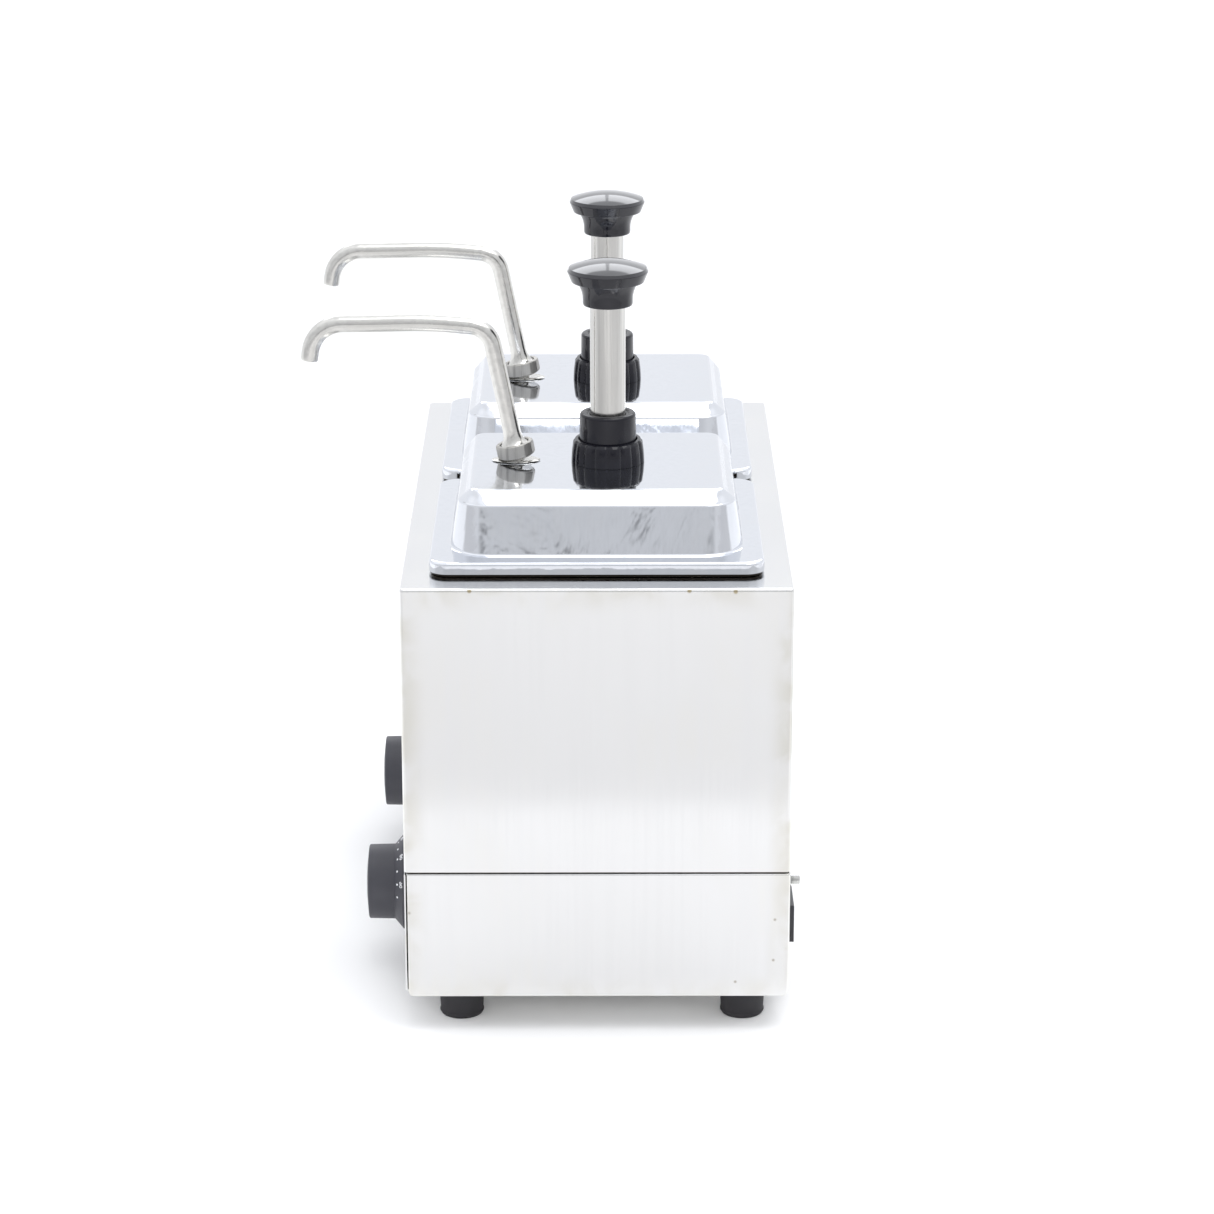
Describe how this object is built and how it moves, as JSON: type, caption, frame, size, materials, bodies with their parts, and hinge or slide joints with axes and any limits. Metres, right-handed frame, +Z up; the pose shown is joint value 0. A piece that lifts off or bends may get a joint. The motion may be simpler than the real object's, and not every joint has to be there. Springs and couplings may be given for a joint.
{
  "type": "heated condiment pump dispenser",
  "caption": "Countertop food warmer with lift-out pans under domed lids, hand pumps with bent spouts, heat knobs, a mains inlet and rubber feet.",
  "frame": {"origin": "on the standing surface, under the centre of the whole object's bounding box", "axes": "+Z up; +X along the long side, towards the end with the mains inlet; -Y towards the operator, where the spouts and heat knobs are"},
  "size_m": [0.378, 0.2698, 0.3997],
  "materials": {
    "housing_steel": "stainless sheet, near mirror, faint brush lines",
    "polished_steel": "polished pressed stainless steel",
    "spout_steel": "drawn stainless tube and turned fittings, satin",
    "inner_steel": "plain mill-finish steel inside the housing",
    "screw_steel": "bright fasteners and shafts",
    "spring_steel": "stainless spring wire",
    "element_sheath": "heat-browned element sheath",
    "black_gloss": "glossy black moulded plastic",
    "dial_plastic": "matte dark grey moulded plastic",
    "inlet_plastic": "black moulded inlet",
    "thermostat_body": "cream moulded switch body",
    "terminal_white": "cream terminal strip",
    "pump_plastic": "food-grade plastic",
    "rubber": "matte black rubber",
    "seal_rubber": "food-grade silicone"
  },
  "bodies": {
    "root": {"upper_housing": "housing_steel", "base_shell": "housing_steel", "front_panel": "housing_steel", "bottom_plate": "inner_steel", "power_inlet": "inlet_plastic", "earth_stud": "screw_steel", "earth_nut": "screw_steel", "terminal_block": "terminal_white", "foot_front_left": "rubber", "foot_front_right": "rubber", "foot_rear_left": "rubber", "foot_rear_right": "rubber", "foot_screw_front_left": "screw_steel", "foot_screw_front_right": "screw_steel", "foot_screw_rear_left": "screw_steel", "foot_screw_rear_right": "screw_steel", "water_well_left": "inner_steel", "heating_element_left": "element_sheath", "thermostat_left": "thermostat_body", "water_well_right": "inner_steel", "heating_element_right": "element_sheath", "thermostat_right": "thermostat_body"},
    "heat_dial_left": {"heat_knob_left": "dial_plastic", "thermostat_shaft_left": "screw_steel"},
    "pan_left": {"food_pan_left": "polished_steel"},
    "lid_set_left": {"lid_left": "polished_steel", "lid_gasket_left": "seal_rubber", "pump_cylinder_left": "pump_plastic", "guide_cap_left": "black_gloss", "locking_nut_left": "black_gloss", "intake_valve_left": "pump_plastic", "discharge_tube_left": "spout_steel", "spout_seat_left": "spout_steel", "spout_nut_left": "spout_steel", "return_spring_left": "spring_steel"},
    "plunger_left": {"pump_knob_left": "black_gloss", "plunger_tube_left": "spout_steel", "piston_left": "pump_plastic", "piston_seal_left": "seal_rubber"},
    "outlet_left": {"spout_left": "spout_steel"},
    "ball_left": {"intake_ball_left": "screw_steel"},
    "heat_dial_right": {"heat_knob_right": "dial_plastic", "thermostat_shaft_right": "screw_steel"},
    "pan_right": {"food_pan_right": "polished_steel"},
    "lid_set_right": {"lid_right": "polished_steel", "lid_gasket_right": "seal_rubber", "pump_cylinder_right": "pump_plastic", "guide_cap_right": "black_gloss", "locking_nut_right": "black_gloss", "intake_valve_right": "pump_plastic", "discharge_tube_right": "spout_steel", "spout_seat_right": "spout_steel", "spout_nut_right": "spout_steel", "return_spring_right": "spring_steel"},
    "plunger_right": {"pump_knob_right": "black_gloss", "plunger_tube_right": "spout_steel", "piston_right": "pump_plastic", "piston_seal_right": "seal_rubber"},
    "outlet_right": {"spout_right": "spout_steel"},
    "ball_right": {"intake_ball_right": "screw_steel"}
  },
  "joints": [
    {"name": "heat_dial_turn_left", "type": "hinge", "parent": "root", "child": "heat_dial_left", "pos_m": [-0.089, -0.0791, 0.046], "axis": [0, 1, 0], "range_deg": [0, 270]},
    {"name": "pan_lift_left", "type": "slide", "parent": "root", "child": "pan_left", "axis": [0, 0, 1], "range_m": [0, 0.16]},
    {"name": "lid_lift_left", "type": "slide", "parent": "pan_left", "child": "lid_set_left", "axis": [0, 0, 1], "range_m": [0, 0.15]},
    {"name": "pump_stroke_left", "type": "slide", "parent": "lid_set_left", "child": "plunger_left", "axis": [0, 0, -1], "range_m": [0, 0.05], "stiffness_N_per_m": 350, "springref_m": -0.025, "deforming": ["return_spring_left"]},
    {"name": "spout_swivel_left", "type": "hinge", "parent": "lid_set_left", "child": "outlet_left", "pos_m": [-0.089, -0.019, 0.2897], "axis": [0, -0.1994, 0.9799], "range_deg": [-40, 40]},
    {"name": "intake_ball_lift_left", "type": "slide", "parent": "lid_set_left", "child": "ball_left", "axis": [0, 0, 1], "range_m": [0, 0.003]},
    {"name": "heat_dial_turn_right", "type": "hinge", "parent": "root", "child": "heat_dial_right", "pos_m": [0.089, -0.0791, 0.046], "axis": [0, 1, 0], "range_deg": [0, 270]},
    {"name": "pan_lift_right", "type": "slide", "parent": "root", "child": "pan_right", "axis": [0, 0, 1], "range_m": [0, 0.16]},
    {"name": "lid_lift_right", "type": "slide", "parent": "pan_right", "child": "lid_set_right", "axis": [0, 0, 1], "range_m": [0, 0.15]},
    {"name": "pump_stroke_right", "type": "slide", "parent": "lid_set_right", "child": "plunger_right", "axis": [0, 0, -1], "range_m": [0, 0.05], "stiffness_N_per_m": 350, "springref_m": -0.025, "deforming": ["return_spring_right"]},
    {"name": "spout_swivel_right", "type": "hinge", "parent": "lid_set_right", "child": "outlet_right", "pos_m": [0.089, -0.019, 0.2897], "axis": [0, -0.1994, 0.9799], "range_deg": [-40, 40]},
    {"name": "intake_ball_lift_right", "type": "slide", "parent": "lid_set_right", "child": "ball_right", "axis": [0, 0, 1], "range_m": [0, 0.003]}
  ]
}
